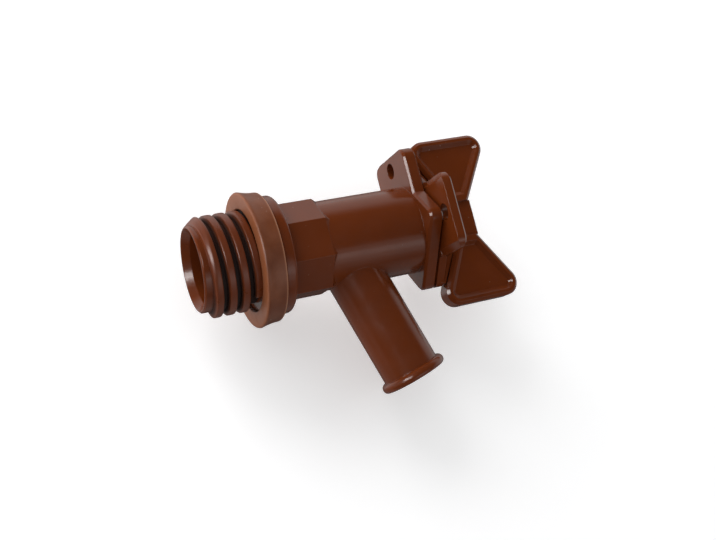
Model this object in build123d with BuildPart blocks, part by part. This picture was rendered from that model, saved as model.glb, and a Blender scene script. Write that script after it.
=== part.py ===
"""Rain barrel tap: a moulded body with a threaded inlet and a slanted spout, and a quarter-turn handle.

The row frame is in millimetres. The origin is the centre of the washer's sealing face.
+Y points through the barrel's wall into the water, -Y towards the handle, +Z up.
The spout leans forward and down. The handle is drawn open, with its grip upright.
A distance "from the wall" is measured from the sealing face towards the handle, so it is minus Y.
"""
import math
import os

from build123d import *

# Threaded inlet
stub_length = 14.1
stub_radius = 11.4
lip_chamfer = 0.4
thread_depth = 1.8
thread_pitch = 3.45
thread_crest = 1.15
thread_base = 2.45
thread_root_wall = 0.3
thread_from_mouth = 2.7
stub_wall = 1.8
lip_width = 0.7
mouth_bevel_depth = 2.1
seat_fit = 0.02

# Working allowances: how far a cutting or joining ring reaches into its part, and how edges are matched
overlap = 1.0
match = 0.01

# Sealing washer
washer_thickness = 5.6
washer_width = 4.5
washer_narrowing = 0.9
washer_waist = 0.6
washer_clearance = 0.3
washer_seat_recess = 1.2
washer_seat_clearance = 0.06

# Flange, spanner flats and barrel
flange_width = 2.2
flange_thickness = 3.35
flange_round = 1.0
flange_back_bevel = 0.5
flats_across = 24.2
flats_length = 11.0
flats_taper = 1.4
flats_count = 8
barrel_radius = 12.0
barrel_wall = 2.1

# Spout
spout_from_flange = 16.75
spout_to_plate = 20.9
spout_angle = 72.3
spout_length = 41.8
spout_radius = 7.85
spout_wall = 1.85
spout_bore_depth = 28.0
bead_height = 1.4
bead_width = 2.6
bead_lip = 0.3
spout_mouth_chamfer = 0.6

# End plate and padlock ears
plate_thickness = 3.9
plate_reach = 18.3
plate_corner = 2.6
plate_bevel = 0.6
ear_width = 20.8
ear_top = 21.0
ear_corner = 3.2
padlock_hole_radius = 2.2
padlock_hole_from_top = 3.9
ear_bevel_depth = 1.1
ear_bevel_width = 1.8
ear_bevel_length = 11.5

# Handle
face_gap = 0.2
hub_thickness = 2.8
hub_bevel = 0.6
wing_half_span = 23.6
wing_front_from_hub = 24.6
wing_back_overlap = 3.1
wing_front_slope = 0.61
wing_back_slope = 0.524
wing_corner = 3.8
wing_thickness = 5.6
wing_bevel = 0.8
waist_half_height = 5.0
rim_width = 1.6
rim_height = 1.0
rim_foot = 1.1
web_inset = 1.5
web_front_step = 0.5

# Plug inside the barrel
plug_clearance = 0.05
plug_wall = 2.85
plug_end_gap = 0.5
chamber_step = 3.2
plug_floor = 3.0
port_inset = 0.8
snap_height = 0.45
snap_width = 1.4
snap_play = 0.15
snap_from_plate = 2.6

# Seals
ring_section = 1.8
ring_facets = 8
ring_from_plug_end = 3.0
ring_fit = 0.02
port_seal_from_port = 0.8
port_seal_width = 1.5
port_seal_depth = 1.3

# Radii that follow from the walls and clearances
inlet_bore_radius = stub_radius - stub_wall
mouth_bevel_radius = stub_radius - lip_width
thread_radius = stub_radius + thread_depth
thread_root_radius = stub_radius + thread_root_wall
washer_bore_radius = thread_radius + washer_clearance
washer_front_radius = washer_bore_radius + washer_width
washer_back_radius = washer_front_radius - washer_narrowing
flange_radius = washer_bore_radius + flange_width
chamber_radius = barrel_radius - barrel_wall
plug_radius = chamber_radius - plug_clearance
plug_bore_radius = plug_radius - plug_wall
spout_bore_radius = spout_radius - spout_wall
bead_radius = spout_radius + bead_height
port_radius = spout_bore_radius - port_inset
port_seal_inner_radius = port_radius + port_seal_from_port
port_seal_outer_radius = port_seal_inner_radius + port_seal_width
padlock_hole_place = ear_top - padlock_hole_from_top
spout_lean = math.radians(spout_angle)

# Thread ridges between the mouth and the washer's seat, counted from the mouth
thread_room = stub_length - thread_from_mouth + washer_seat_recess - thread_base / 2
thread_count = 1 + math.floor(thread_room / thread_pitch)
first_ridge = stub_length - thread_from_mouth

# Stations along the axis, from the wall
flange_back = washer_thickness
flange_front = flange_back + flange_thickness
flats_front = flange_front + flats_length
spout_station = flange_front + spout_from_flange
plate_back = spout_station + spout_to_plate
plate_front = plate_back + plate_thickness
hub_back = plate_front + face_gap
hub_front = hub_back + hub_thickness
chamber_back = flange_front + chamber_step
plug_back = chamber_back + plug_end_gap
snap_station = plate_back - snap_from_plate
back_ring_station = plug_back + ring_from_plug_end
port_seal_reach = port_seal_outer_radius / math.sin(spout_lean)
port_seal_front = spout_station + chamber_radius / math.tan(spout_lean) + port_seal_reach
front_ring_station = (port_seal_front + snap_station - snap_width / 2) / 2
wing_front = hub_front + wing_front_from_hub
wing_back = hub_front - wing_back_overlap
wing_rise = wing_half_span - waist_half_height
waist_front = wing_front - wing_front_slope * wing_rise
waist_back = wing_back + wing_back_slope * wing_rise
web_reach = plate_reach - web_inset
ring_radius = chamber_radius - ring_fit - ring_section / 2
groove_radius = ring_radius - ring_section / 2 - ring_fit
web_front = waist_front + web_front_step
panel_thickness = wing_thickness - 2 * rim_height
rim_slope = math.degrees(math.atan2(rim_foot, rim_height))

spout_direction = Vector(0, -math.cos(spout_lean), -math.sin(spout_lean))
spout_plane = Plane(origin=(0, -spout_station, 0), x_dir=(1, 0, 0), z_dir=spout_direction)


def across(station):
    """Plane square to the axis, at a distance from the wall, looking towards the handle."""
    return Plane.XZ.offset(station)


def is_circle(edge, radius):
    """True for a round edge of the given radius."""
    return edge.geom_type == GeomType.CIRCLE and abs(edge.radius - radius) < match


def ring_profile(inner, outer, start, end):
    """Half section of a plain ring about the axis, drawn in the XY plane."""
    with BuildSketch(Plane.XY) as section:
        with Locations(((inner + outer) / 2, -(start + end) / 2)):
            Rectangle(outer - inner, end - start)
    return section.sketch


def plate_outline(ear_turn):
    """Square plate standing on its corner, with a padlock ear turned to one side."""
    with BuildSketch() as diamond:
        Rectangle(plate_reach * math.sqrt(2), plate_reach * math.sqrt(2), rotation=45)
        fillet(diamond.vertices(), radius=plate_corner)
    with BuildSketch() as ear:
        with Locations((0, ear_top / 2)):
            Rectangle(ear_width, ear_top)
        fillet(ear.vertices().group_by(Axis.Y)[-1], radius=ear_corner)
    with BuildSketch() as outline:
        add(diamond.sketch)
        add(ear.sketch, rotation=ear_turn)
    return outline.sketch


def wing_outline():
    """Upper wing of the bow-tie grip: minus the distance from the wall across, height up."""
    with BuildSketch() as outline:
        with BuildLine():
            Polyline(
                (-wing_back, wing_half_span),
                (-wing_front, wing_half_span),
                (-waist_front, waist_half_height),
                (-waist_back, waist_half_height),
                close=True,
            )
        make_face()
        fillet(outline.vertices().group_by(Axis.Y)[-1], radius=wing_corner)
    return outline.sketch


def port_ring(inner, outer, bottom, top):
    """Saddle ring about the port: a short tube along the spout, kept between two radii of the plug."""
    with BuildPart(mode=Mode.PRIVATE) as saddle:
        with BuildSketch(spout_plane):
            Circle(outer)
            Circle(inner, mode=Mode.SUBTRACT)
        extrude(amount=2 * top)
        with BuildSketch(Plane.XY):
            add(ring_profile(bottom, top, chamber_back, plate_back))
        revolve(axis=Axis.Y, mode=Mode.INTERSECT)
    return saddle.part


# Body: stub, flange, barrel, flats, spout, end plate and ear in one moulding
with BuildPart() as valve_body:
    with BuildSketch(Plane.XY) as turned:
        with BuildLine():
            Polyline(
                (0, stub_length),
                (stub_radius - lip_chamfer, stub_length),
                (stub_radius, stub_length - lip_chamfer),
                (stub_radius, -washer_seat_recess),
                (washer_bore_radius - washer_seat_clearance, -washer_seat_recess),
                (washer_bore_radius - washer_seat_clearance, -flange_back),
                (flange_radius, -flange_back),
                (flange_radius, -flange_front + flange_round),
            )
            Bezier(
                (flange_radius, -flange_front + flange_round),
                (flange_radius, -flange_front),
                (flange_radius - flange_round, -flange_front),
            )
            Polyline(
                (flange_radius - flange_round, -flange_front),
                (barrel_radius, -flange_front),
                (barrel_radius, -plate_front),
                (0, -plate_front),
                (0, stub_length),
            )
        make_face()
    revolve(axis=Axis.Y)
    flange_rim = valve_body.edges().filter_by(lambda e: is_circle(e, flange_radius)).sort_by(Axis.Y)[-1]
    chamfer(flange_rim, length=flange_back_bevel)

    with BuildSketch(across(flange_front)):
        RegularPolygon(flats_across / 2, flats_count, major_radius=False, rotation=180 / flats_count)
    extrude(amount=flats_length)
    corner_radius = flats_across / 2 / math.cos(math.pi / flats_count)
    with BuildSketch(across(flats_front)):
        RegularPolygon(flats_across / 2, flats_count, major_radius=False, rotation=180 / flats_count)
    extrude(amount=flats_taper, taper=math.degrees(math.atan2(corner_radius - barrel_radius, flats_taper)))

    with BuildSketch(across(plate_back)):
        add(plate_outline(0))
    extrude(amount=plate_thickness)
    plate_edges = valve_body.edges().filter_by(Plane.XZ).filter_by_position(Axis.Y, -plate_front, -plate_back)
    chamfer(plate_edges.filter_by(lambda e: is_circle(e, barrel_radius), reverse=True), length=plate_bevel)

    with BuildSketch(spout_plane):
        Circle(spout_radius)
    extrude(amount=spout_length)
    bead_bulge = (8 * bead_radius - 2 * spout_radius - bead_lip) / 6
    with BuildSketch(Plane(origin=spout_plane.origin, x_dir=spout_plane.y_dir, z_dir=(1, 0, 0))) as bead:
        with BuildLine():
            bead_start = spout_length - bead_width
            Bezier(
                (spout_radius, bead_start),
                (bead_bulge, bead_start),
                (bead_bulge, spout_length),
                (spout_radius + bead_lip, spout_length),
            )
            Polyline(
                (spout_radius + bead_lip, spout_length),
                (spout_radius - overlap, spout_length),
                (spout_radius - overlap, bead_start),
                (spout_radius, bead_start),
            )
        make_face()
    revolve(axis=Axis(spout_plane.origin, spout_direction))

    with BuildSketch(Plane.XY) as waterway:
        with BuildLine():
            Polyline(
                (0, stub_length),
                (mouth_bevel_radius, stub_length),
                (inlet_bore_radius, stub_length - mouth_bevel_depth),
                (inlet_bore_radius, -chamber_back),
                (chamber_radius, -chamber_back),
                (chamber_radius, -plate_front),
                (0, -plate_front),
                close=True,
            )
        make_face()
    revolve(axis=Axis.Y, mode=Mode.SUBTRACT)
    with BuildSketch(Plane.XY):
        add(ring_profile(
            chamber_radius - overlap,
            plug_radius + snap_height + snap_play,
            snap_station - snap_width / 2 - snap_play,
            snap_station + snap_width / 2 + snap_play,
        ))
    revolve(axis=Axis.Y, mode=Mode.SUBTRACT)
    with BuildSketch(spout_plane):
        Circle(port_radius)
    extrude(amount=spout_length, mode=Mode.SUBTRACT)
    with BuildSketch(spout_plane.offset(spout_length)):
        Circle(spout_bore_radius)
    extrude(amount=-spout_bore_depth - spout_mouth_chamfer, mode=Mode.SUBTRACT)
    spout_rim = valve_body.edges().filter_by(lambda e: is_circle(e, spout_bore_radius)).sort_by(Axis.Z)[0]
    chamfer(spout_rim, length=spout_mouth_chamfer)
    with BuildSketch(across(plate_back)):
        with Locations((0, padlock_hole_place)):
            Circle(padlock_hole_radius)
    extrude(amount=plate_thickness, mode=Mode.SUBTRACT)
valve_body.part.label = "valve_body"

# Coarse thread as plain rings at its pitch, joined at their roots
with BuildPart() as inlet_thread:
    with BuildSketch(Plane.XY):
        last_ridge = first_ridge - (thread_count - 1) * thread_pitch
        add(ring_profile(
            stub_radius + seat_fit,
            thread_root_radius,
            -first_ridge - thread_base / 2,
            -last_ridge + thread_base / 2,
        ))
        for i in range(thread_count):
            with BuildLine():
                middle = first_ridge - i * thread_pitch
                Polyline(
                    (stub_radius + seat_fit, middle - thread_base / 2),
                    (thread_root_radius, middle - thread_base / 2),
                    (thread_radius, middle - thread_crest / 2),
                    (thread_radius, middle + thread_crest / 2),
                    (thread_root_radius, middle + thread_base / 2),
                    (stub_radius + seat_fit, middle + thread_base / 2),
                    close=True,
                )
            make_face()
    revolve(axis=Axis.Y)
inlet_thread.part.label = "inlet_thread"

# Rubber washer with a slightly waisted rim
with BuildPart() as sealing_washer:
    waist_radius = (washer_front_radius + washer_back_radius) / 2 - 2 * washer_waist
    with BuildSketch(Plane.XY):
        with BuildLine():
            Polyline(
                (washer_front_radius, 0),
                (washer_bore_radius, 0),
                (washer_bore_radius, -washer_thickness),
                (washer_back_radius, -washer_thickness),
            )
            Bezier(
                (washer_back_radius, -washer_thickness),
                (waist_radius, -washer_thickness / 2),
                (washer_front_radius, 0),
            )
        make_face()
    revolve(axis=Axis.Y)
sealing_washer.part.label = "sealing_washer"

# Handle: hub plate, padlock ear, bow-tie grip and hollow plug in one moulding
with BuildPart() as handle:
    with BuildSketch(across(hub_back)):
        add(plate_outline(90))
    extrude(amount=hub_thickness)
    hub_edges = handle.edges().filter_by(Plane.XZ)
    on_ear_back = hub_edges.filter_by_position(Axis.Y, -hub_back - match, -hub_back + match).sort_by(Axis.X)[:5]
    chamfer([e for e in hub_edges if e not in on_ear_back], length=hub_bevel)
    for side in (-1, 1):
        with BuildSketch(Plane.YZ.offset(-ear_top)):
            with BuildLine():
                Polyline(
                    (-hub_back, side * ear_width / 2),
                    (-hub_back - ear_bevel_depth, side * ear_width / 2),
                    (-hub_back, side * (ear_width / 2 - ear_bevel_width)),
                    close=True,
                )
            make_face()
        extrude(amount=ear_bevel_length, mode=Mode.SUBTRACT)
    with BuildSketch(across(plug_back)):
        Circle(plug_radius)
    extrude(amount=hub_back - plug_back)
    with BuildSketch(Plane.XY):
        add(ring_profile(
            plug_radius - overlap,
            plug_radius + snap_height,
            snap_station - snap_width / 2,
            snap_station + snap_width / 2,
        ))
    revolve(axis=Axis.Y)

    with BuildSketch(Plane.YZ) as web:
        with BuildLine():
            Polyline(
                (-hub_front + hub_thickness / 2, web_reach),
                (-hub_front, web_reach),
                (-waist_back, waist_half_height),
                (-web_front, waist_half_height),
                (-web_front, -waist_half_height),
                (-waist_back, -waist_half_height),
                (-hub_front, -web_reach),
                (-hub_front + hub_thickness / 2, -web_reach),
                close=True,
            )
        make_face()
    extrude(amount=panel_thickness / 2, both=True)

    with BuildPart(mode=Mode.PRIVATE) as wings:
        with BuildSketch(Plane.YZ):
            add(wing_outline())
            mirror(about=Plane.XZ)
        extrude(amount=wing_thickness / 2, both=True)
        face_edges = wings.edges().filter_by(lambda e: abs(abs(e.center().X) - wing_thickness / 2) < match)
        rim_edges = face_edges.filter_by(lambda e: abs(e.center().Z) > waist_half_height + match)
        chamfer(rim_edges, length=wing_bevel)
    add(wings.part)
    for side in (-1, 1):
        with BuildSketch(Plane.YZ.offset(side * wing_thickness / 2)):
            add(wing_outline())
            offset(amount=-rim_width, mode=Mode.REPLACE)
            mirror(about=Plane.XZ)
        extrude(amount=-side * rim_height, taper=rim_slope, mode=Mode.SUBTRACT)

    with BuildSketch(across(plug_back)):
        Circle(plug_bore_radius)
    extrude(amount=plate_front - plug_floor - plug_back, mode=Mode.SUBTRACT)
    for station in (back_ring_station, front_ring_station):
        with BuildSketch(Plane.XY):
            add(ring_profile(
                groove_radius,
                chamber_radius,
                station - ring_section / 2 - ring_fit,
                station + ring_section / 2 + ring_fit,
            ))
        revolve(axis=Axis.Y, mode=Mode.SUBTRACT)
    with BuildSketch(spout_plane):
        Circle(port_radius)
    extrude(amount=chamber_radius * 2, mode=Mode.SUBTRACT)
    add(port_ring(
        port_seal_inner_radius - ring_fit,
        port_seal_outer_radius + ring_fit,
        plug_radius - port_seal_depth - ring_fit,
        chamber_radius,
    ), mode=Mode.SUBTRACT)
    with BuildSketch(across(hub_back)):
        with Locations((-padlock_hole_place, 0)):
            Circle(padlock_hole_radius)
    extrude(amount=hub_thickness, mode=Mode.SUBTRACT)
handle.part.label = "handle"

# Rubber saddle seal round the port, which keeps a shut tap from leaking past the plug
with BuildPart() as port_seal:
    add(port_ring(
        port_seal_inner_radius,
        port_seal_outer_radius,
        plug_radius - port_seal_depth,
        chamber_radius - ring_fit,
    ))
port_seal.part.label = "port_seal"

pieces = {
    "valve_body": valve_body,
    "inlet_thread": inlet_thread,
    "sealing_washer": sealing_washer,
    "handle": handle,
    "port_seal": port_seal,
}

# Two round sealing rings, one near each end of the plug
for name, station in (("plug_ring_back", back_ring_station), ("plug_ring_front", front_ring_station)):
    with BuildPart() as sealing_ring:
        with BuildSketch(Plane.XY):
            with Locations((ring_radius, -station)):
                RegularPolygon(ring_section / 2, ring_facets, major_radius=False, rotation=180 / ring_facets)
        revolve(axis=Axis.Y)
    sealing_ring.part.label = name
    pieces[name] = sealing_ring

os.makedirs("parts", exist_ok=True)
for name, piece in pieces.items():
    export_step(piece.part, f"parts/{name}.step")
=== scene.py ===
"""Looks of the rain barrel tap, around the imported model. Laid out as an add-on, run as a script.

Row frame, in metres: +Y runs out of the threaded inlet, -Y to the handle, +Z is up.
The photograph is seen from the -X side, a little from the inlet's end and from below.
"""
import math

import bmesh
import bpy
from mathutils import Matrix, Vector


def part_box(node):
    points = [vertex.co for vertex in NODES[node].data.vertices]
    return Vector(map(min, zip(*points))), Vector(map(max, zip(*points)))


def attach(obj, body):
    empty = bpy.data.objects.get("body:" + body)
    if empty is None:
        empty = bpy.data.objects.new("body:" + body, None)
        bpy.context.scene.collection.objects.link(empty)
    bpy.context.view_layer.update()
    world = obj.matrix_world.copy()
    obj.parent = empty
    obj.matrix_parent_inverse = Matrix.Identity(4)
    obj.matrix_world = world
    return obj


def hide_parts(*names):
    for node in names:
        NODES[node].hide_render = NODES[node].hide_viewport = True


bl_info = {
    "name": "Rain barrel tap",
    "version": (1, 0, 0),
    "blender": (4, 5, 0),
    "location": "3D View > Sidebar > Tap",
    "description": "Dresses the packed tap: moulded plastic, thread ridge, rubber washer and seals, backdrop",
    "category": "Object",
}

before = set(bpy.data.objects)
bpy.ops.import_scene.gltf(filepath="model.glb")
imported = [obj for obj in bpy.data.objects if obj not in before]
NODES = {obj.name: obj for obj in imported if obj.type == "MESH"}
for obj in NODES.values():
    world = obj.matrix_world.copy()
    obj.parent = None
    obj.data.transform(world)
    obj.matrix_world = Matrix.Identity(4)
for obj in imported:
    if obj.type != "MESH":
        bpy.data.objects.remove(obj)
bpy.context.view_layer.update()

MM = 0.001
TURN = 2 * math.pi

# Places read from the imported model
THREAD_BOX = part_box("inlet_thread")
WASHER_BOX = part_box("sealing_washer")
WASHER_THICKNESS = -WASHER_BOX[0].y
WASHER_RADIUS = WASHER_BOX[1].x
THREAD_RADIUS = THREAD_BOX[1].x
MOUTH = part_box("valve_body")[1].y
PORT_SEAL_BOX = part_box("port_seal")
RING_NODES = ("plug_ring_back", "plug_ring_front")

# The spout's axis leaves the barrel's axis here, and the port's seal lies round it
SPOUT_ORIGIN = Vector((0.0, -25.7 * MM, 0.0))
SPOUT_AXIS = Vector((0.0, -0.304033, -0.952661))


class TapSizes(bpy.types.PropertyGroup):
    """Sizes of the pieces that are made here, and of the view."""

    thread_pitch: bpy.props.FloatProperty(
        name="Thread pitch", description="Advance of the moulded thread in one turn",
        default=3.45 * MM, unit="LENGTH",
    )
    thread_depth: bpy.props.FloatProperty(
        name="Thread depth", description="Height of the ridge above the stub",
        default=1.8 * MM, unit="LENGTH",
    )
    thread_crest: bpy.props.FloatProperty(
        name="Crest width", description="Width of the flat top of the ridge",
        default=1.75 * MM, unit="LENGTH",
    )
    thread_base: bpy.props.FloatProperty(
        name="Base width", description="Width of the ridge where it leaves the stub",
        default=2.50 * MM, unit="LENGTH",
    )
    thread_start: bpy.props.FloatProperty(
        name="First crest", description="Distance of the first crest from the sealing face, at the top",
        default=11.95 * MM, unit="LENGTH",
    )
    thread_turns: bpy.props.FloatProperty(
        name="Turns", description="Turns of the ridge, counted from the top on the near side",
        default=3.44,
    )
    thread_soft: bpy.props.FloatProperty(
        name="Thread rounding", description="Rounding of the ridge's corners",
        default=0.32 * MM, unit="LENGTH",
    )
    thread_edge: bpy.props.FloatProperty(
        name="Thread edge", description="Rounding that the thread's edges show in the light",
        default=0.10 * MM, unit="LENGTH",
    )
    washer_width: bpy.props.FloatProperty(
        name="Washer width", description="Width of the washer's front face",
        default=4.5 * MM, unit="LENGTH",
    )
    washer_taper: bpy.props.FloatProperty(
        name="Washer taper", description="How much smaller the washer's radius is at its back",
        default=0.9 * MM, unit="LENGTH",
    )
    washer_round: bpy.props.FloatProperty(
        name="Washer rounding", description="Rounding of the washer's outer front edge",
        default=0.6 * MM, unit="LENGTH",
    )
    washer_waist: bpy.props.FloatProperty(
        name="Washer waist", description="How far the washer's outside dips in the middle",
        default=0.18 * MM, unit="LENGTH",
    )
    washer_hang: bpy.props.FloatProperty(
        name="Washer hang", description="How far the loose washer hangs down on the stub",
        default=0.22 * MM, unit="LENGTH",
    )
    seal_width: bpy.props.FloatProperty(
        name="Port seal width", description="Width of the ring round the plug's port",
        default=1.5 * MM, unit="LENGTH",
    )
    seal_height: bpy.props.FloatProperty(
        name="Port seal height", description="Height of the ring round the plug's port",
        default=1.33 * MM, unit="LENGTH",
    )
    edge_round: bpy.props.FloatProperty(
        name="Edge rounding", description="Rounding that the moulded edges show in the light",
        default=0.28 * MM, unit="LENGTH",
    )
    lens_length: bpy.props.FloatProperty(
        name="Lens", description="Focal length of the view, on a 36 mm wide sensor, in millimetres",
        default=51.24,
    )
    backdrop_gap: bpy.props.FloatProperty(
        name="Backdrop distance", description="How far the backdrop lies behind the tap's axis",
        default=25.0 * MM, unit="LENGTH",
    )


class TapColours(bpy.types.PropertyGroup):
    """Colours of the finishes."""

    plastic: bpy.props.FloatVectorProperty(
        name="Plastic", description="Chocolate brown of the moulded plastic",
        default=(0.135, 0.0265, 0.0050), subtype="COLOR",
    )
    plastic_deep: bpy.props.FloatVectorProperty(
        name="Plastic, deep", description="Darker streaks in the moulded plastic",
        default=(0.118, 0.0230, 0.0042), subtype="COLOR",
    )
    washer: bpy.props.FloatVectorProperty(
        name="Washer", description="Brown of the washer's rubber",
        default=(0.138, 0.030, 0.0040), subtype="COLOR",
    )
    # Partly real bloom in random patches, partly painted light: the whole front face takes this paler colour.
    washer_bloom_and_lit_front: bpy.props.FloatVectorProperty(
        name="Washer, worn", description="Paler bloom on the washer's rubber",
        default=(0.240, 0.075, 0.028), subtype="COLOR",
    )
    # Painted highlight: pale line along the washer's back edge, where the edge catches the light.
    washer_edge_highlight: bpy.props.FloatVectorProperty(
        name="Washer, edge", description="Thin pale moulding line at the washer's back edge",
        default=(0.36, 0.15, 0.075), subtype="COLOR",
    )
    # Painted shade: dark colour mixed into the plastic between the turns of the thread and above the stub
    # under the washer, where the tap shades itself.
    painted_groove_shade: bpy.props.FloatVectorProperty(
        name="Groove", description="Plastic between the turns of the thread, where no light gets in",
        default=(0.026, 0.006, 0.0020), subtype="COLOR",
    )
    seal: bpy.props.FloatVectorProperty(
        name="Seals", description="Black of the seals on the plug",
        default=(0.018, 0.018, 0.019), subtype="COLOR",
    )
    backdrop: bpy.props.FloatVectorProperty(
        name="Backdrop", description="White of the backdrop",
        default=(0.93, 0.93, 0.935), subtype="COLOR",
    )


def new_object(name, bm, body):
    """Object from a finished mesh, smooth shaded and riding on a body."""
    bmesh.ops.recalc_face_normals(bm, faces=bm.faces)
    mesh = bpy.data.meshes.new(name)
    bm.to_mesh(mesh)
    bm.free()
    mesh.shade_smooth()
    piece = bpy.data.objects.new(name, mesh)
    bpy.context.scene.collection.objects.link(piece)
    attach(piece, body)
    return piece


def bridge_rings(bm, rings, closed):
    """Faces between neighbouring rings of vertices; closed also joins the last ring to the first."""
    last = len(rings) if closed else len(rings) - 1
    for i in range(last):
        one, two = rings[i], rings[(i + 1) % len(rings)]
        count = len(one)
        for j in range(count):
            k = (j + 1) % count
            bm.faces.new((one[j], one[k], two[k], two[j]))


def turned_mesh(profile, steps):
    """Closed body of revolution about the Y axis from (radius, y) points that close on themselves."""
    bm = bmesh.new()
    rings = []
    for i in range(steps):
        angle = TURN * i / steps
        rings.append([
            bm.verts.new((radius * math.sin(angle), y, radius * math.cos(angle)))
            for radius, y in profile
        ])
    bridge_rings(bm, rings, closed=True)
    return bm


def rounded_corner(corner, before, after, radius, steps=5):
    """Points of an arc that rounds a corner between its two neighbours in a flat outline."""
    corner, before, after = Vector(corner), Vector(before), Vector(after)
    one = (before - corner).normalized()
    two = (after - corner).normalized()
    half = one.angle(two) / 2
    start = corner + one * radius / math.tan(half)
    end = corner + two * radius / math.tan(half)
    centre = corner + (one + two).normalized() * radius / math.sin(half)
    points = []
    for i in range(steps + 1):
        blend = start.lerp(end, i / steps) - centre
        points.append(tuple(centre + blend.normalized() * radius))
    return points


def smooth_step(x):
    """Zero below 0, one above 1, smooth between."""
    x = min(max(x, 0.0), 1.0)
    return x * x * (3 - 2 * x)


class Nodes:
    """Small helper that adds and joins shader nodes of one material."""

    def __init__(self, name):
        self.material = bpy.data.materials.new(name)
        self.material.use_nodes = True
        self.tree = self.material.node_tree
        self.tree.nodes.clear()
        self.column = 0

    def add(self, kind, **inputs):
        """New node with values, or sockets of other nodes, on its inputs by name."""
        node = self.tree.nodes.new(kind)
        self.column += 1
        node.location = (self.column * 180, 0)
        for key, value in inputs.items():
            by_place = key[0] == "_" and key[1:].isdigit()
            socket = node.inputs[int(key[1:]) if by_place else key.replace("_", " ")]
            if isinstance(value, bpy.types.NodeSocket):
                self.tree.links.new(value, socket)
            else:
                socket.default_value = value
        return node

    def noise(self, vector, scale, detail=3.0, roughness=0.5):
        """Noise value at a scale given in lumps per metre."""
        node = self.add("ShaderNodeTexNoise", Vector=vector, Scale=scale, Detail=detail, Roughness=roughness)
        return node.outputs["Fac"]

    def spread(self, value, low, high, to_low=0.0, to_high=1.0):
        """Value stretched from one range to another and clamped."""
        node = self.add("ShaderNodeMapRange")
        node.clamp = True
        self.tree.links.new(value, node.inputs["Value"])
        for key, number in (("From Min", low), ("From Max", high), ("To Min", to_low), ("To Max", to_high)):
            node.inputs[key].default_value = number
        return node.outputs["Result"]

    def product(self, *factors):
        """Product of several values."""
        result = factors[0]
        for factor in factors[1:]:
            times = self.add("ShaderNodeMath", _0=result, _1=factor)
            times.operation = "MULTIPLY"
            result = times.outputs[0]
        return result

    def mix(self, factor, one, two):
        """Colour between two colours."""
        node = self.add("ShaderNodeMix")
        node.data_type = "RGBA"
        sockets = [s for s in node.inputs if s.enabled]
        for socket, value in zip(sockets, (factor, one, two)):
            if isinstance(value, bpy.types.NodeSocket):
                self.tree.links.new(value, socket)
            else:
                socket.default_value = value
        return [s for s in node.outputs if s.enabled][0]

    def finish(self, shader):
        """Joins the shader to the material's output and returns the material."""
        output = self.add("ShaderNodeOutputMaterial")
        self.tree.links.new(shader.outputs[0], output.inputs["Surface"])
        return self.material


def with_alpha(colour):
    """Colour property as four numbers."""
    return (colour[0], colour[1], colour[2], 1.0)


def painted_shade_mask(make, place, sizes):
    """Mask of painted shade: one where no light gets in, between the turns of the thread and above the stub
    under the washer.
    """
    flat = make.add("ShaderNodeVectorMath", _0=place, _1=(1.0, 0.0, 1.0))
    flat.operation = "MULTIPLY"
    length = make.add("ShaderNodeVectorMath", _0=flat.outputs[0])
    length.operation = "LENGTH"
    radius = length.outputs["Value"]
    root = THREAD_RADIUS - sizes.thread_depth
    split = make.add("ShaderNodeSeparateXYZ", _0=place)
    outside = make.spread(radius, root - 0.4 * MM, root - 0.2 * MM)
    # Painted shade between the turns of the thread
    painted_groove_shade = make.product(
        outside,
        make.spread(radius, root + 1.45 * MM, root + 0.45 * MM),
        make.spread(split.outputs["Y"], 12.4 * MM, 11.2 * MM),
        make.spread(split.outputs["Y"], -0.2 * MM, 0.0),
    )
    # Painted shade in the gap above the stub under the washer, on its upper side only
    painted_shade_under_washer = make.product(
        outside,
        make.spread(radius, root + 3.0 * MM, root + 2.8 * MM),
        make.spread(split.outputs["Y"], -0.1 * MM, -0.3 * MM),
        make.spread(split.outputs["Y"], -0.3 * MM - WASHER_THICKNESS, -0.1 * MM - WASHER_THICKNESS),
        make.spread(split.outputs["Z"], -6.0 * MM, -2.0 * MM),
    )
    either = make.add("ShaderNodeMath", _0=painted_groove_shade, _1=painted_shade_under_washer)
    either.operation = "MAXIMUM"
    return either.outputs[0]


def moulded_plastic(name, colours, edge_round, roughness, shift, groove_sizes=None):
    """Brown moulded plastic with flow streaks, orange peel, dust and soft edges, and painted shade in the
    grooves.
    """
    make = Nodes(name)
    place = make.add("ShaderNodeTexCoord").outputs["Object"]
    moved = make.add("ShaderNodeVectorMath", _0=place, _1=shift).outputs[0]
    flow = make.spread(make.noise(moved, 55.0, 4.0, 0.6), 0.35, 0.65)
    colour = make.mix(flow, with_alpha(colours.plastic_deep), with_alpha(colours.plastic))
    speck = make.spread(make.noise(moved, 1500.0, 1.0), 0.79, 0.82, 0.0, 0.5)
    colour = make.mix(speck, colour, (0.30, 0.20, 0.16, 1.0))
    patches = make.noise(moved, 240.0, 5.0, 0.65)
    rough = make.spread(patches, 0.3, 0.7, roughness - 0.04, roughness + 0.06)
    # Painted shade: the grooves and the gap under the washer get a dark colour and more roughness
    if groove_sizes:
        painted_shade = painted_shade_mask(make, place, groove_sizes)
        colour = make.mix(painted_shade, colour, with_alpha(colours.painted_groove_shade))
        dull = make.spread(painted_shade, 0.0, 1.0, 0.0, 0.45)
        duller = make.add("ShaderNodeMath", _0=rough, _1=dull)
        rough = duller.outputs[0]
    rounded = make.add("ShaderNodeBevel", Radius=edge_round)
    rounded.samples = 6
    peel = make.noise(moved, 900.0, 3.0, 0.55)
    bump = make.add(
        "ShaderNodeBump", Strength=0.10, Distance=0.05 * MM, Height=peel, Normal=rounded.outputs[0]
    )
    shader = make.add(
        "ShaderNodeBsdfPrincipled", Base_Color=colour, Roughness=rough, Normal=bump.outputs[0]
    )
    shader.inputs["IOR"].default_value = 1.5
    return make.finish(shader)


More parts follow.
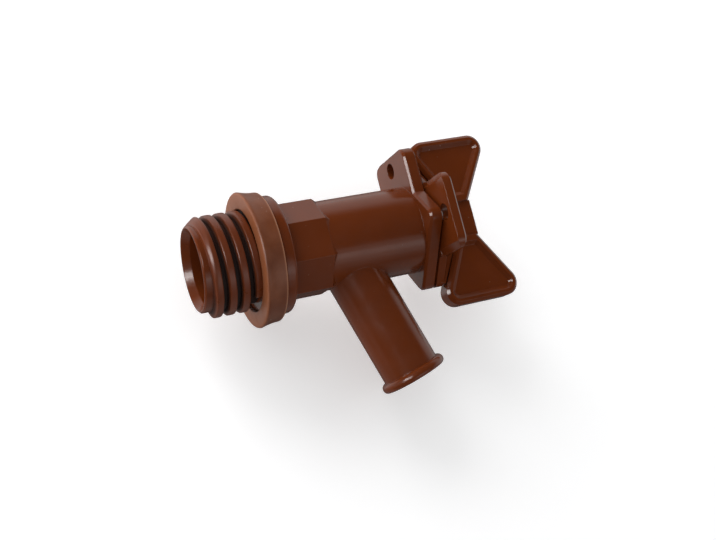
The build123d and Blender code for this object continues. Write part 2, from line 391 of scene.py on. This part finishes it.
def washer_rubber(colours):
    """Matt brown rubber with pale patches of bloom, a front face painted paler as if more lit, a painted
    highlight along its back edge and a fine grain.
    """
    make = Nodes("rubber_of_washer")
    place = make.add("ShaderNodeTexCoord").outputs["Object"]
    patches = make.spread(make.noise(place, 130.0, 5.0, 0.6), 0.40, 0.70, 0.0, 0.5)
    split = make.add("ShaderNodeSeparateXYZ", _0=place)
    # Painted light: the washer's front face is made paler, as if more lit
    front = make.spread(split.outputs["Y"], -0.45 * MM, -0.10 * MM)
    # Painted highlight along the washer's back edge
    painted_edge_highlight = make.spread(
        split.outputs["Y"], 0.55 * MM - WASHER_THICKNESS, 0.20 * MM - WASHER_THICKNESS
    )
    # Random bloom patches together with the painted lighter front face
    bloom_and_lit_front = make.add("ShaderNodeMath", _0=patches, _1=front)
    bloom_and_lit_front.operation = "MAXIMUM"
    colour = make.mix(bloom_and_lit_front.outputs[0], with_alpha(colours.washer), with_alpha(colours.washer_bloom_and_lit_front))
    colour = make.mix(painted_edge_highlight, colour, with_alpha(colours.washer_edge_highlight))
    speck = make.spread(make.noise(place, 1100.0, 1.0), 0.76, 0.79, 0.0, 0.6)
    colour = make.mix(speck, colour, (0.42, 0.30, 0.24, 1.0))
    rough = make.spread(make.noise(place, 300.0, 4.0), 0.3, 0.7, 0.36, 0.48)
    grain = make.noise(place, 1800.0, 4.0, 0.6)
    bump = make.add("ShaderNodeBump", Strength=0.22, Distance=0.06 * MM, Height=grain)
    shader = make.add(
        "ShaderNodeBsdfPrincipled", Base_Color=colour, Roughness=rough, Normal=bump.outputs[0]
    )
    return make.finish(shader)


def seal_rubber(colours):
    """Black rubber under a thin film of grease."""
    make = Nodes("rubber_of_seals")
    place = make.add("ShaderNodeTexCoord").outputs["Object"]
    film = make.noise(place, 420.0, 3.0)
    rough = make.spread(film, 0.3, 0.7, 0.28, 0.46)
    bump = make.add("ShaderNodeBump", Strength=0.15, Distance=0.03 * MM, Height=film)
    colour = make.mix(film, with_alpha(colours.seal), (0.03, 0.03, 0.031, 1.0))
    shader = make.add(
        "ShaderNodeBsdfPrincipled", Base_Color=colour, Roughness=rough, Normal=bump.outputs[0]
    )
    return make.finish(shader)


def material(name, maker):
    """The named material, made on first use."""
    found = bpy.data.materials.get(name)
    return found if found else maker()


def body_plastic(context):
    """Plastic of the body."""
    sizes, colours = context.scene.tap_sizes, context.scene.tap_colours
    # The sizes given last turn on painted shade in the grooves and above the stub under the washer
    return material("plastic_of_body", lambda: moulded_plastic(
        "plastic_of_body", colours, sizes.edge_round, 0.20, (0.0, 0.0, 0.0), sizes
    ))


def thread_plastic(context):
    """The body's plastic, more matt and with crisper edges."""
    sizes, colours = context.scene.tap_sizes, context.scene.tap_colours
    # The sizes given last turn on painted shade in the grooves and above the stub under the washer
    return material("plastic_of_thread", lambda: moulded_plastic(
        "plastic_of_thread", colours, sizes.thread_edge, 0.30, (0.0, 0.0, 0.0), sizes
    ))


def handle_plastic(context):
    """Plastic of the handle, a little glossier."""
    sizes, colours = context.scene.tap_sizes, context.scene.tap_colours
    return material("plastic_of_handle", lambda: moulded_plastic(
        "plastic_of_handle", colours, sizes.edge_round, 0.14, (0.31, 0.17, 0.05)
    ))


def dress(node, finish):
    """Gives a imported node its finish."""
    mesh = NODES[node].data
    mesh.materials.clear()
    mesh.materials.append(finish)


class TAP_OT_body(bpy.types.Operator):
    """Finishes the moulded body"""

    bl_idname = "tap.body"
    bl_label = "Body"

    def execute(self, context):
        dress("valve_body", body_plastic(context))
        return {"FINISHED"}


class TAP_OT_handle(bpy.types.Operator):
    """Finishes the handle with its hub plate, ear, grip and plug"""

    bl_idname = "tap.handle"
    bl_label = "Handle"

    def execute(self, context):
        dress("handle", handle_plastic(context))
        return {"FINISHED"}


class TAP_OT_thread(bpy.types.Operator):
    """Winds the moulded thread ridge round the inlet stub"""

    bl_idname = "tap.thread"
    bl_label = "Thread"

    def execute(self, context):
        sizes = context.scene.tap_sizes
        root = THREAD_RADIUS - sizes.thread_depth
        sink = 0.25 * MM
        lead_in = 0.10
        run_out = 0.03
        before = 0.12
        steps_per_turn = 120
        nose = MOUTH - 0.35 * MM
        nose_slope = 0.75
        half_base = sizes.thread_base / 2
        half_crest = sizes.thread_crest / 2
        soft = sizes.thread_soft
        flank = half_base - half_crest
        bm = bmesh.new()
        rings = []
        count = round((sizes.thread_turns + before) * steps_per_turn)
        for i in range(count + 1):
            turn = -before + i / steps_per_turn
            height = smooth_step((turn + before) / lead_in)
            height *= smooth_step((sizes.thread_turns - turn) / run_out)
            angle = TURN * turn
            middle = sizes.thread_start - sizes.thread_pitch * turn
            top = root + sizes.thread_depth * height
            edge = min(soft, (top - root) / 3 + 0.001 * MM)
            near_half = half_crest + flank * (1 - height) * 0.5
            corners = [
                (root - sink, middle - half_base - soft),
                (root, middle - half_base),
                (top, middle - near_half),
                (top, middle + near_half),
                (root, middle + half_base),
                (root - sink, middle + half_base + soft),
            ]
            ring = [corners[0]]
            for k in range(1, 5):
                arc = rounded_corner(corners[k], corners[k - 1], corners[k + 1], edge, 3)
                last = Vector(ring[-1])
                ring += [tuple(last.lerp(Vector(arc[0]), share)) for share in (0.25, 0.5, 0.75)]
                ring += arc
            ring.append(corners[5])
            ring = [
                (min(radius, max(root - sink, root + (nose - y) * nose_slope)), y)
                for radius, y in ring
            ]
            rings.append([
                bm.verts.new((-radius * math.sin(angle), y, radius * math.cos(angle)))
                for radius, y in ring
            ])
        bridge_rings(bm, rings, closed=False)
        bm.faces.new(rings[0])
        bm.faces.new(list(reversed(rings[-1])))
        ridge = new_object("inlet_thread_ridge", bm, "tap_body")
        ridge.data.materials.append(thread_plastic(context))
        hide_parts("inlet_thread")
        return {"FINISHED"}


class TAP_OT_washer(bpy.types.Operator):
    """Moulds the sealing washer with rounded edges and a waisted outside"""

    bl_idname = "tap.washer"
    bl_label = "Sealing washer"

    def execute(self, context):
        sizes = context.scene.tap_sizes
        bore = WASHER_RADIUS - sizes.washer_width
        back = WASHER_RADIUS - sizes.washer_taper
        thick = WASHER_THICKNESS
        corners = [(WASHER_RADIUS, 0.0), (back, -thick), (bore, -thick), (bore, 0.0)]
        rounds = [sizes.washer_round, 0.35 * MM, 0.15 * MM, 0.4 * MM]
        profile = []
        for i, corner in enumerate(corners):
            before, after = corners[i - 1], corners[(i + 1) % len(corners)]
            arc = rounded_corner(corner, before, after, rounds[i])
            if i == 1:
                start, end = Vector(profile[-1]), Vector(arc[0])
                for j in range(1, 8):
                    share = j / 8
                    dip = sizes.washer_waist * math.sin(math.pi * share)
                    point = start.lerp(end, share)
                    profile.append((point.x - dip, point.y))
            profile += arc
        bm = turned_mesh(profile, 144)
        bmesh.ops.translate(bm, verts=bm.verts, vec=(0.0, 0.0, -sizes.washer_hang))
        washer = new_object("sealing_washer_rubber", bm, "tap_body")
        colours = context.scene.tap_colours
        washer.data.materials.append(material("rubber_of_washer", lambda: washer_rubber(colours)))
        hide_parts("sealing_washer")
        return {"FINISHED"}


class TAP_OT_seals(bpy.types.Operator):
    """Makes the two round rings on the plug and the saddle seal round its port"""

    bl_idname = "tap.seals"
    bl_label = "Plug seals"

    def execute(self, context):
        colours = context.scene.tap_colours
        rubber = material("rubber_of_seals", lambda: seal_rubber(colours))
        for node in RING_NODES:
            low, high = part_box(node)
            section = (high.y - low.y) / 2
            middle = (high.y + low.y) / 2
            radius = high.x - section
            profile = [
                (radius + section * math.cos(TURN * i / 16), middle + section * math.sin(TURN * i / 16))
                for i in range(16)
            ]
            ring = new_object(node + "_round", turned_mesh(profile, 96), "turning_handle")
            ring.data.materials.append(rubber)
            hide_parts(node)
        self.saddle(context.scene.tap_sizes, rubber)
        return {"FINISHED"}

    def saddle(self, sizes, rubber):
        """Rubber ring round the plug's port, rounded in section and bent over the plug."""
        sideways = Vector((1.0, 0.0, 0.0))
        lengthways = Vector((0.0, SPOUT_AXIS.z, -SPOUT_AXIS.y))
        outer = PORT_SEAL_BOX[1].x
        inner = outer - sizes.seal_width
        high = -PORT_SEAL_BOX[0].z
        low = high - sizes.seal_height
        corners = [(inner, low), (outer, low), (outer, high), (inner, high)]
        rounds = [0.25 * MM, 0.25 * MM, 0.5 * MM, 0.5 * MM]
        profile = []
        for i, corner in enumerate(corners):
            profile += rounded_corner(corner, corners[i - 1], corners[(i + 1) % 4], rounds[i], 4)
        bm = bmesh.new()
        rings = []
        steps = 96
        for i in range(steps):
            angle = TURN * i / steps
            ring = []
            for across, height in profile:
                foot = SPOUT_ORIGIN + across * (sideways * math.cos(angle) + lengthways * math.sin(angle))
                rise = -math.sqrt(height ** 2 - foot.x ** 2)
                ring.append(bm.verts.new(foot + SPOUT_AXIS * ((rise - foot.z) / SPOUT_AXIS.z)))
            rings.append(ring)
        bridge_rings(bm, rings, closed=True)
        seal = new_object("port_seal_saddle", bm, "turning_handle")
        seal.data.materials.append(rubber)
        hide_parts("port_seal")


# Camera fitted to the photograph: place and axes in the row frame
CAMERA_PLACE = (-0.2527, 0.0709, -0.0441)
CAMERA_RIGHT = (-0.3297, -0.9124, -0.2426)
CAMERA_UP = (-0.2083, -0.1803, 0.9613)


def look_matrix(place, right, up):
    """World matrix of an object at a place whose local X is right and local Y is up; it looks along -Z."""
    x = Vector(right).normalized()
    z = x.cross(Vector(up)).normalized()
    y = z.cross(x)
    turn = Matrix((x, y, z)).transposed().to_4x4()
    turn.translation = Vector(place)
    return turn


def view_vector(right, up, toward):
    """Direction in the row frame from parts to the right, up and toward the camera in the picture."""
    x, y = Vector(CAMERA_RIGHT), Vector(CAMERA_UP)
    return (x * right + y * up + x.cross(y) * toward).normalized()


def softbox(name, direction, distance, width, height, level, shine=True, light=True):
    """Area lamp that looks at the tap's middle; its face is as bright as level, where 1 is white."""
    panel = bpy.data.lights.new(name, "AREA")
    panel.shape = "RECTANGLE"
    panel.size = width
    panel.size_y = height
    panel.energy = level * math.pi * width * height
    lamp = bpy.data.objects.new(name, panel)
    bpy.context.scene.collection.objects.link(lamp)
    middle = Vector((0.0, -0.03, 0.0))
    lamp.location = middle + direction * distance
    lamp.rotation_euler = direction.to_track_quat("Z", "Y").to_euler()
    lamp.visible_glossy = shine
    lamp.visible_diffuse = light
    return lamp


class TAP_OT_stage(bpy.types.Operator):
    """Puts the white backdrop behind the tap, the soft lamps round it and the camera in front"""

    bl_idname = "tap.stage"
    bl_label = "Stage"

    def execute(self, context):
        self.backdrop(context)
        self.world(context)
        self.lamps()
        self.camera(context)
        return {"FINISHED"}

    def backdrop(self, context):
        """White sheet behind the tap, seen only by the camera and only from its front."""
        scene = context.scene
        lean = 0.2235
        reach = 0.6
        normal = Vector((-1.0, 0.0, lean)).normalized()
        side = Vector((0.0, 1.0, 0.0))
        rise = normal.cross(side)
        middle = Vector((scene.tap_sizes.backdrop_gap, -0.03, 0.0))
        corners = [
            middle + side * a * reach + rise * b * reach for a, b in ((-1, -1), (1, -1), (1, 1), (-1, 1))
        ]
        bm = bmesh.new()
        face = bm.faces.new([bm.verts.new(c) for c in corners])
        face.normal_update()
        if face.normal.dot(normal) < 0:
            face.normal_flip()
        mesh = bpy.data.meshes.new("backdrop")
        bm.to_mesh(mesh)
        bm.free()
        sheet = bpy.data.objects.new("backdrop", mesh)
        scene.collection.objects.link(sheet)
        make = Nodes("backdrop_white")
        matt = make.add("ShaderNodeBsdfDiffuse", Color=with_alpha(scene.tap_colours.backdrop))
        glow = make.add("ShaderNodeEmission", Color=(1.0, 1.0, 1.0, 1.0), Strength=0.29)
        white = make.add("ShaderNodeAddShader", _0=matt.outputs[0], _1=glow.outputs[0])
        clear = make.add("ShaderNodeBsdfTransparent")
        seen = make.add("ShaderNodeLightPath").outputs["Is Camera Ray"]
        back = make.add("ShaderNodeNewGeometry").outputs["Backfacing"]
        front = make.add("ShaderNodeMath", _0=1.0, _1=back)
        front.operation = "SUBTRACT"
        share = make.add("ShaderNodeMath", _0=seen, _1=front.outputs[0])
        share.operation = "MULTIPLY"
        shader = make.add(
            "ShaderNodeMixShader", _0=share.outputs[0], _1=clear.outputs[0], _2=white.outputs[0]
        )
        mesh.materials.append(make.finish(shader))

    def world(self, context):
        """White for the camera, plain soft light, and a gloss that mirrors the sheet behind the tap."""
        world = bpy.data.worlds.new("studio")
        context.scene.world = world
        world.use_nodes = True
        tree = world.node_tree
        tree.nodes.clear()
        path = tree.nodes.new("ShaderNodeLightPath")
        skyward = tree.nodes.new("ShaderNodeTexCoord")
        toward = tree.nodes.new("ShaderNodeVectorMath")
        toward.operation = "DOT_PRODUCT"
        toward.inputs[1].default_value = view_vector(0, 0, 1)
        tree.links.new(skyward.outputs["Generated"], toward.inputs[0])
        away = tree.nodes.new("ShaderNodeMapRange")
        away.inputs["From Min"].default_value = 1.0
        away.inputs["From Max"].default_value = -1.0
        tree.links.new(toward.outputs["Value"], away.inputs["Value"])
        down = tree.nodes.new("ShaderNodeVectorMath")
        down.operation = "DOT_PRODUCT"
        down.inputs[1].default_value = view_vector(0, -1, 0)
        tree.links.new(skyward.outputs["Generated"], down.inputs[0])
        floor = tree.nodes.new("ShaderNodeMapRange")
        floor_range = (("From Min", 0.06), ("From Max", 0.24), ("To Min", 1.0), ("To Max", 0.30))
        for key, number in floor_range:
            floor.inputs[key].default_value = number
        tree.links.new(down.outputs["Value"], floor.inputs["Value"])
        sheet = tree.nodes.new("ShaderNodeValToRGB")
        ramp = sheet.color_ramp.elements
        ramp.remove(ramp[1])
        ramp[0].position = 0.44
        for place in (0.58, 0.87, 0.96):
            ramp.new(place)
        for stop, level in zip(ramp, (0.01, 0.72, 0.72, 0.14)):
            stop.color = (level, level, level, 1.0)
        tree.links.new(away.outputs["Result"], sheet.inputs["Fac"])
        camera = tree.nodes.new("ShaderNodeBackground")
        camera.inputs["Color"].default_value = (1.0, 1.0, 1.0, 1.0)
        light = tree.nodes.new("ShaderNodeBackground")
        light.inputs["Color"].default_value = (1.0, 1.0, 1.0, 1.0)
        light.inputs["Strength"].default_value = 0.55
        gloss = tree.nodes.new("ShaderNodeBackground")
        tree.links.new(sheet.outputs["Color"], gloss.inputs["Color"])
        tree.links.new(floor.outputs["Result"], gloss.inputs["Strength"])
        shiny = tree.nodes.new("ShaderNodeMixShader")
        seen = tree.nodes.new("ShaderNodeMixShader")
        output = tree.nodes.new("ShaderNodeOutputWorld")
        for socket, source in (
            (shiny.inputs[0], path.outputs["Is Glossy Ray"]),
            (shiny.inputs[1], light.outputs[0]),
            (shiny.inputs[2], gloss.outputs[0]),
            (seen.inputs[0], path.outputs["Is Camera Ray"]),
            (seen.inputs[1], shiny.outputs[0]),
            (seen.inputs[2], camera.outputs[0]),
            (output.inputs["Surface"], seen.outputs[0]),
        ):
            tree.links.new(source, socket)

    def lamps(self):
        """Matt light from four sides, and cards and two small lamps that only the gloss shows."""
        softbox("key", view_vector(-0.6, 1.0, 0.35), 1.0, 0.8, 0.6, 4.4, shine=False)
        softbox("fill", view_vector(-0.3, 0.1, 1.0), 1.2, 1.0, 1.0, 0.40, shine=False)
        softbox("back", view_vector(0.2, 0.3, -1.0), 1.2, 1.2, 1.0, 1.2, shine=False)
        softbox("left", view_vector(-1.0, -0.1, 0.1), 1.0, 0.8, 0.8, 2.6, shine=False)
        softbox("side", view_vector(-0.95, -0.20, 0.25), 0.9, 0.4, 0.9, 0.2, light=False)
        self.band()
        softbox("glint_mouth", view_vector(-0.40, 0.14, 0.91), 0.9, 0.18, 0.32, 12.0, light=False)
        softbox("glint_ear", view_vector(-0.65, 0.16, 0.74), 0.9, 0.22, 0.42, 12.0, light=False)

    def band(self):
        """Column of cards low on the right that fades downwards, mirrored as a soft band on the barrel."""
        across = math.radians(49)
        for i, level in enumerate((0.4, 1.0, 0.5, 0.22, 0.08)):
            low = -math.radians(14 + 12 * i)
            direction = view_vector(
                math.cos(low) * math.sin(across), math.sin(low), math.cos(low) * math.cos(across)
            )
            softbox(f"band_{i + 1}", direction, 0.9, 0.65, 0.19, level, light=False)

    def camera(self, context):
        """Camera where the photograph was taken from."""
        lens = bpy.data.cameras.new("camera")
        lens.sensor_width = 36.0
        lens.lens = context.scene.tap_sizes.lens_length
        lens.clip_start = 0.01
        camera = bpy.data.objects.new("camera", lens)
        context.scene.collection.objects.link(camera)
        camera.matrix_world = look_matrix(CAMERA_PLACE, CAMERA_RIGHT, CAMERA_UP)
        context.scene.camera = camera
        context.scene.view_settings.view_transform = "Standard"


class TAP_PT_pieces(bpy.types.Panel):
    """Lists the tap's pieces in the sidebar"""

    bl_idname = "TAP_PT_pieces"
    bl_label = "Rain barrel tap"
    bl_space_type = "VIEW_3D"
    bl_region_type = "UI"
    bl_category = "Tap"

    def draw(self, context):
        for operator in OPERATORS:
            self.layout.operator(operator.bl_idname)
        for group in (context.scene.tap_sizes, context.scene.tap_colours):
            for key in group.bl_rna.properties.keys():
                if key not in ("rna_type", "name"):
                    self.layout.prop(group, key)


OPERATORS = (TAP_OT_body, TAP_OT_thread, TAP_OT_washer, TAP_OT_handle, TAP_OT_seals, TAP_OT_stage)
CLASSES = (TapSizes, TapColours) + OPERATORS + (TAP_PT_pieces,)


def register():
    """Adds the classes and the scene's two groups of settings."""
    for cls in CLASSES:
        bpy.utils.register_class(cls)
    bpy.types.Scene.tap_sizes = bpy.props.PointerProperty(type=TapSizes)
    bpy.types.Scene.tap_colours = bpy.props.PointerProperty(type=TapColours)


def unregister():
    """Takes the settings and the classes out again."""
    del bpy.types.Scene.tap_colours
    del bpy.types.Scene.tap_sizes
    for cls in reversed(CLASSES):
        bpy.utils.unregister_class(cls)


def main():
    """Makes every piece and the stage."""
    register()
    bpy.ops.tap.body()
    bpy.ops.tap.thread()
    bpy.ops.tap.washer()
    bpy.ops.tap.handle()
    bpy.ops.tap.seals()
    bpy.ops.tap.stage()


if __name__ == "__main__":
    main()
